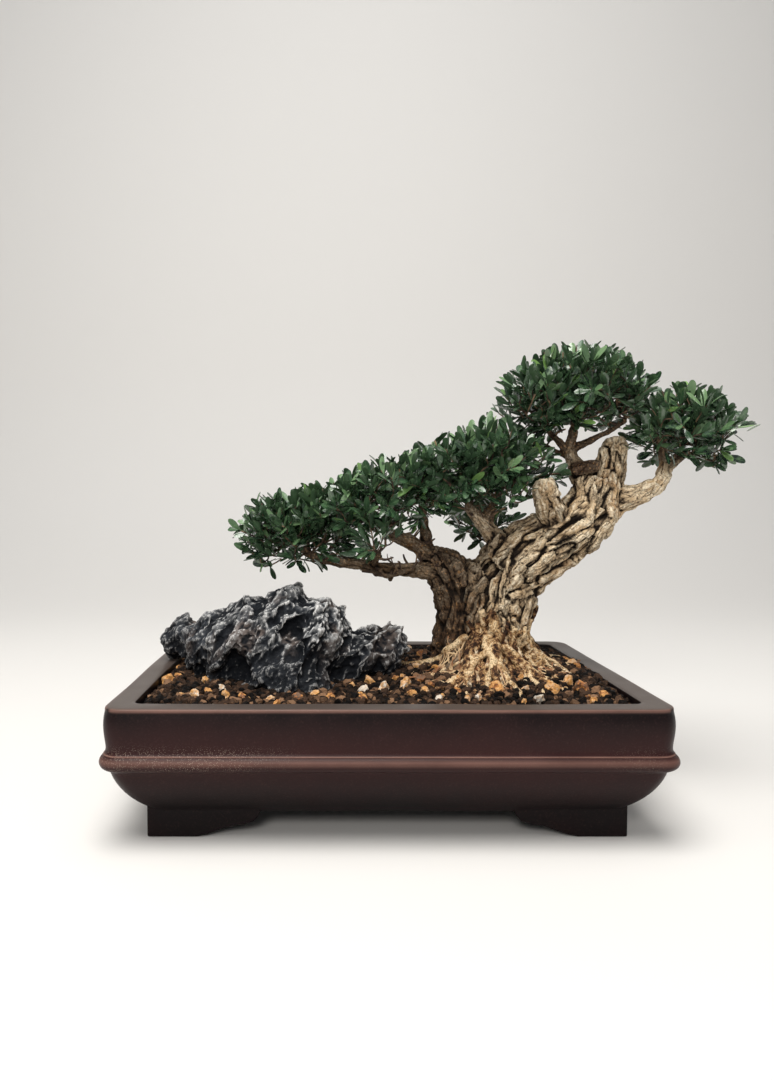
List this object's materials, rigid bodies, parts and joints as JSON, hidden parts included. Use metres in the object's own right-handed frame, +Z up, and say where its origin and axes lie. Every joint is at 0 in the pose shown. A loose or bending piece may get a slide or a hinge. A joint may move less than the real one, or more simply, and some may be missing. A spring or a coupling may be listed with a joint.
{
  "type": "boxwood bonsai",
  "caption": "Boxwood bonsai: a leaning, plated trunk with pads of small leaves, planted with a landscape stone in a shallow rectangular clay pot.",
  "frame": {"origin": "under the middle of the whole, on the surface that the pot's feet stand on", "axes": "+Z up; +X along the pot's long side, towards the crown and the right-hand pad, from the stone; +Y towards the back, away from the side that the picture shows"},
  "size_m": [0.3804, 0.2202, 0.2823],
  "materials": {
    "fired_clay": "satin",
    "screen_plastic": "matte",
    "bonsai_soil": "matte",
    "landscape_stone": "matte",
    "boxwood_bark": "matte",
    "boxwood_leaf": "satin"
  },
  "bodies": {
    "root": {"pot": "fired_clay", "drain_screen_left": "screen_plastic", "drain_screen_right": "screen_plastic", "soil": "bonsai_soil", "stone": "landscape_stone", "trunk": "boxwood_bark", "foliage_back": "boxwood_leaf", "foliage_left_low": "boxwood_leaf", "foliage_centre": "boxwood_leaf", "foliage_crown": "boxwood_leaf", "foliage_right": "boxwood_leaf", "foliage_left_inner": "boxwood_leaf", "foliage_left_outer": "boxwood_leaf"}
  },
  "joints": []
}
